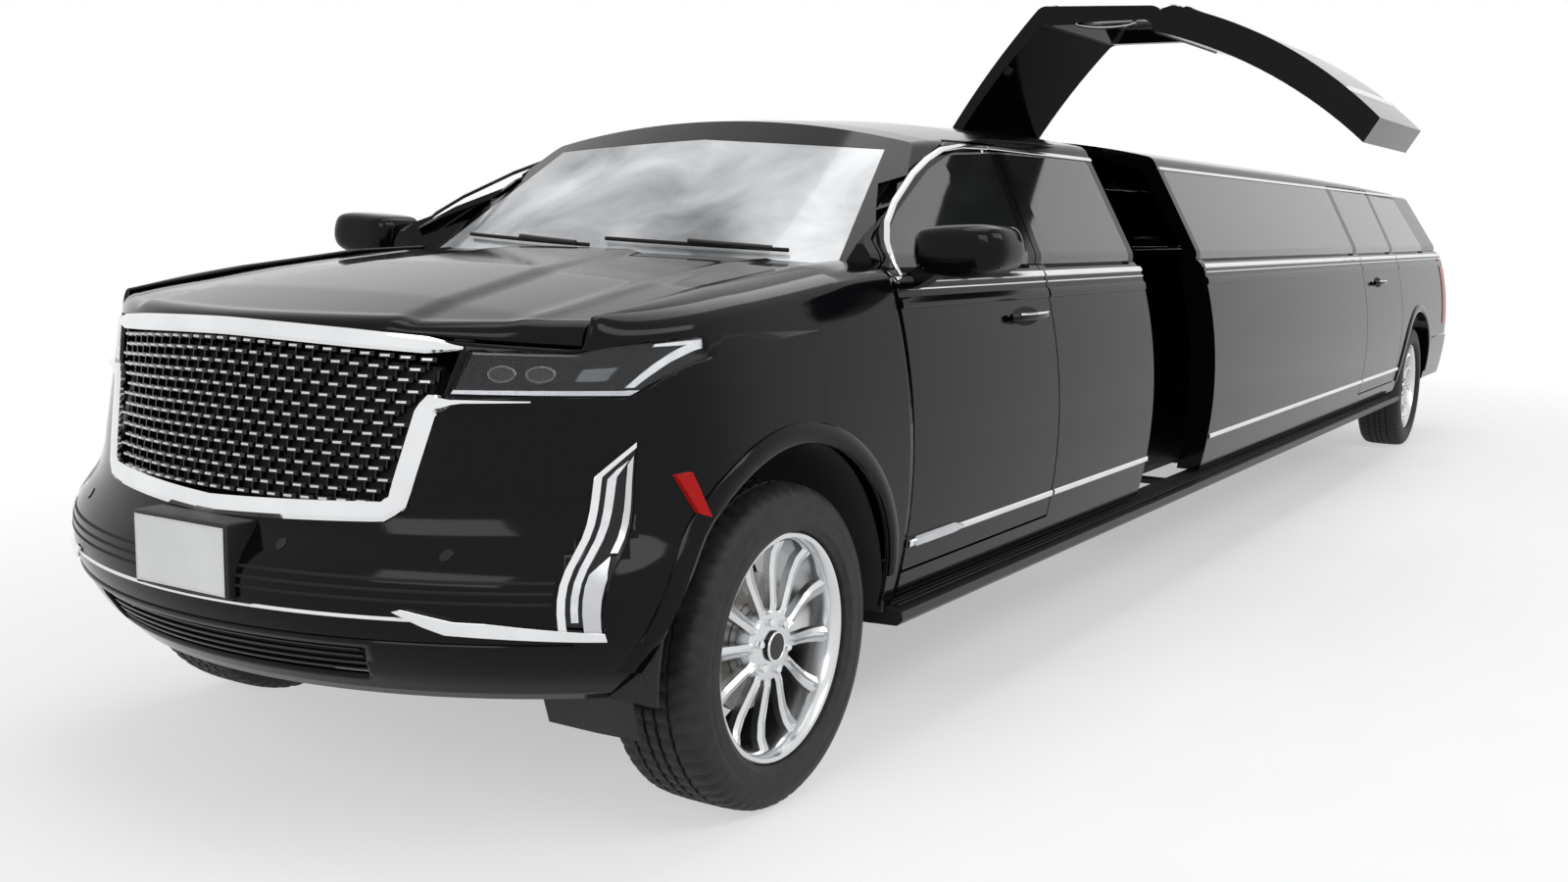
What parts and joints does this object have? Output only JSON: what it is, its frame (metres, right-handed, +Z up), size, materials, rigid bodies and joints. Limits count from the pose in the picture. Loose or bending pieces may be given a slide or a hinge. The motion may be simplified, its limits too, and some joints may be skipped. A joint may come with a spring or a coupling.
{
  "type": "stretch limousine",
  "caption": "Long stretched off-roader limousine with side doors, liftgate, turning and steering wheels, and a jet door raised on its left side over a ribbed running board.",
  "frame": {"origin": "centre of the front jacking crossmember's lower face, on the centreline under the front axle, 0.240 m above the road", "axes": "+X forward along the car, +Y to its left, +Z up"},
  "size_m": [10.446, 3.0486, 2.305],
  "materials": {
    "body_paint": "gloss black paint",
    "clear_glass": "clear laminated glass",
    "dark_glass": "dark tinted glass",
    "bright_trim": "polished chrome",
    "black_gloss": "gloss black",
    "lamp_lens": "clear lens over a dark housing",
    "plate_white": "blank white plate",
    "black_plastic": "grained black plastic",
    "chassis_steel": "satin black chassis paint",
    "underbody_coat": "matt underbody coating",
    "engine_casting": "cast metal",
    "bare_steel": "plain steel tube",
    "wheel_alloy": "bright machined alloy",
    "tyre_rubber": "black rubber",
    "seat_leather": "black leather"
  },
  "bodies": {
    "car_body": {"body_side_left": "body_paint", "body_side_right": "body_paint", "quarter_panels": "body_paint", "roof_panel": "body_paint", "front_fenders": "body_paint", "front_bumper": "body_paint", "rear_bumper": "body_paint", "windshield": "clear_glass", "side_glass": "dark_glass", "grille_frame": "bright_trim", "grille_mesh": "black_gloss", "lamps": "lamp_lens", "front_plate": "plate_white", "cowl": "black_plastic", "running_boards": "black_plastic", "chassis_frame": "chassis_steel", "floor_pan": "underbody_coat", "engine_block": "engine_casting", "driveline": "bare_steel", "front_suspension": "chassis_steel", "dashboard": "black_plastic", "seats": "seat_leather"},
    "front_door_left": {"front_door_left": "body_paint", "front_door_glass_left": "dark_glass"},
    "front_door_right": {"front_door_right": "body_paint", "front_door_glass_right": "dark_glass"},
    "rear_door_left": {"rear_door_left": "body_paint", "rear_door_glass_left": "dark_glass"},
    "rear_door_right": {"rear_door_right": "body_paint", "rear_door_glass_right": "dark_glass"},
    "jet_door": {"jet_door": "body_paint", "jet_door_glass": "dark_glass"},
    "liftgate": {"liftgate": "body_paint", "liftgate_glass": "dark_glass"},
    "hood": {"hood": "body_paint"},
    "knuckle_left": {"knuckle_left": "engine_casting"},
    "knuckle_right": {"knuckle_right": "engine_casting"},
    "front_wheel_left": {"rim_front_left": "wheel_alloy", "tyre_front_left": "tyre_rubber"},
    "front_wheel_right": {"rim_front_right": "wheel_alloy", "tyre_front_right": "tyre_rubber"},
    "rear_wheel_left": {"rim_rear_left": "wheel_alloy", "tyre_rear_left": "tyre_rubber"},
    "rear_wheel_right": {"rim_rear_right": "wheel_alloy", "tyre_rear_right": "tyre_rubber"},
    "strut_tube": {"strut_tube": "black_gloss"},
    "strut_rod": {"strut_rod": "bright_trim"}
  },
  "joints": [
    {"name": "steer_left", "type": "hinge", "parent": "car_body", "child": "knuckle_left", "pos_m": [0, 0.85, 0.171], "axis": [0, 0, 1], "range_deg": [-32, 32]},
    {"name": "steer_right", "type": "hinge", "parent": "car_body", "child": "knuckle_right", "pos_m": [0, -0.85, 0.171], "axis": [0, 0, 1], "range_deg": [-32, 32]},
    {"name": "front_wheel_left_spin", "type": "hinge", "parent": "knuckle_left", "child": "front_wheel_left", "pos_m": [0, 0.87, 0.171], "axis": [0, 1, 0], "continuous": true},
    {"name": "front_wheel_right_spin", "type": "hinge", "parent": "knuckle_right", "child": "front_wheel_right", "pos_m": [0, -0.87, 0.171], "axis": [0, 1, 0], "continuous": true},
    {"name": "rear_wheel_left_spin", "type": "hinge", "parent": "car_body", "child": "rear_wheel_left", "pos_m": [-8.151, 0.87, 0.171], "axis": [0, 1, 0], "continuous": true},
    {"name": "rear_wheel_right_spin", "type": "hinge", "parent": "car_body", "child": "rear_wheel_right", "pos_m": [-8.151, -0.87, 0.171], "axis": [0, 1, 0], "continuous": true},
    {"name": "front_door_left_hinge", "type": "hinge", "parent": "car_body", "child": "front_door_left", "pos_m": [-0.605, 1.025, 0.6], "axis": [0, 0, -1], "range_deg": [0, 65]},
    {"name": "front_door_right_hinge", "type": "hinge", "parent": "car_body", "child": "front_door_right", "pos_m": [-0.605, -1.025, 0.6], "axis": [0, 0, 1], "range_deg": [0, 65]},
    {"name": "rear_door_left_hinge", "type": "hinge", "parent": "car_body", "child": "rear_door_left", "pos_m": [-6.491, 1.025, 0.6], "axis": [0, 0, -1], "range_deg": [0, 65]},
    {"name": "rear_door_right_hinge", "type": "hinge", "parent": "car_body", "child": "rear_door_right", "pos_m": [-6.491, -1.025, 0.6], "axis": [0, 0, 1], "range_deg": [0, 65]},
    {"name": "jet_door_hinge", "type": "hinge", "parent": "car_body", "child": "jet_door", "pos_m": [-3, 0.12, 1.61], "axis": [1, 0, 0], "range_deg": [-59, 0]},
    {"name": "liftgate_hinge", "type": "hinge", "parent": "car_body", "child": "liftgate", "pos_m": [-9.203, 0, 1.472], "axis": [0, 1, 0], "range_deg": [0, 80]},
    {"name": "hood_hinge", "type": "hinge", "parent": "car_body", "child": "hood", "pos_m": [-0.564, 0, 1.119], "axis": [0, -1, 0], "range_deg": [0, 50]},
    {"name": "strut_swing", "type": "hinge", "parent": "car_body", "child": "strut_tube", "pos_m": [-2.641, 0.205, 1.525], "axis": [1, 0, 0], "range_deg": [-66, 0]},
    {"name": "strut_slide", "type": "slide", "parent": "strut_tube", "child": "strut_rod", "axis": [0, 0.4776, 0.8786], "range_m": [-0.114, 0]}
  ],
  "couplings": [
    {"joint": "steer_right", "follows": "steer_left", "ratio": 1},
    {"joint": "strut_swing", "follows": "jet_door_hinge", "ratio": 1.1151},
    {"joint": "strut_slide", "follows": "jet_door_hinge", "m_per_rad": 0.1105}
  ]
}
